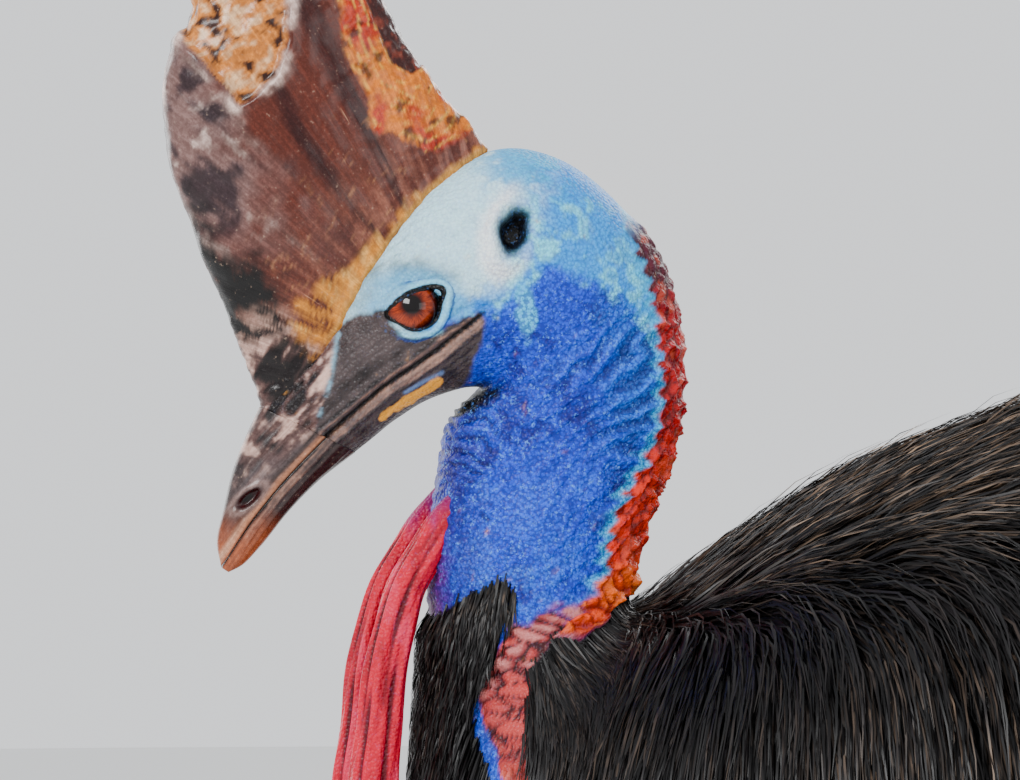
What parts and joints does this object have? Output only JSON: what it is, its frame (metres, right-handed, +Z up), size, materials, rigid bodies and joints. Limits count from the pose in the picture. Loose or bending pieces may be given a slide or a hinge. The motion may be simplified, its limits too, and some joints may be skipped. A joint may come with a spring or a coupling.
{
  "type": "cassowary",
  "caption": "Standing cassowary, life size: tall casque, down-curved bill, bare neck with two wattles, drooping hair-like coat, bare wing quills and clawed feet.",
  "frame": {"origin": "on the floor, under the middle of the bird's bounding box", "axes": "+Z up, the bird faces -Y, +X is its left side"},
  "size_m": [0.4566, 1.0807, 1.267],
  "materials": {
    "head_skin": "bare pale blue to turquoise skin, finely pebbled",
    "neck_skin": "bare cobalt blue skin, wrinkled, with a red and orange hind neck",
    "wattle_skin": "smooth pink red skin with lengthwise folds",
    "casque_horn": "brown horn, striated and scratched, amber at the back",
    "bill_horn": "dark grey brown horn, satin",
    "eye": "wet, amber brown iris and black pupil",
    "claw_horn": "dark horn, satin, paler at the root",
    "quill_horn": "black bare quills, satin",
    "leg_scales": "grey brown scaled skin",
    "black_plumage": "black hair-like feathers, soft sheen"
  },
  "bodies": {
    "root": {"bill_lower": "bill_horn", "bill_upper": "bill_horn", "casque": "casque_horn", "claw_inner_left": "claw_horn", "claw_inner_right": "claw_horn", "claw_middle_left": "claw_horn", "claw_middle_right": "claw_horn", "claw_outer_left": "claw_horn", "claw_outer_right": "claw_horn", "eye_left": "eye", "eye_right": "eye", "foot_left": "leg_scales", "foot_right": "leg_scales", "head": "head_skin", "neck_lower": "neck_skin", "neck_upper": "neck_skin", "shank_left": "leg_scales", "shank_right": "leg_scales", "tail": "black_plumage", "thigh_left": "black_plumage", "thigh_right": "black_plumage", "torso": "black_plumage", "wattle_left": "wattle_skin", "wattle_right": "wattle_skin", "wing_left": "quill_horn", "wing_right": "quill_horn"}
  },
  "joints": []
}
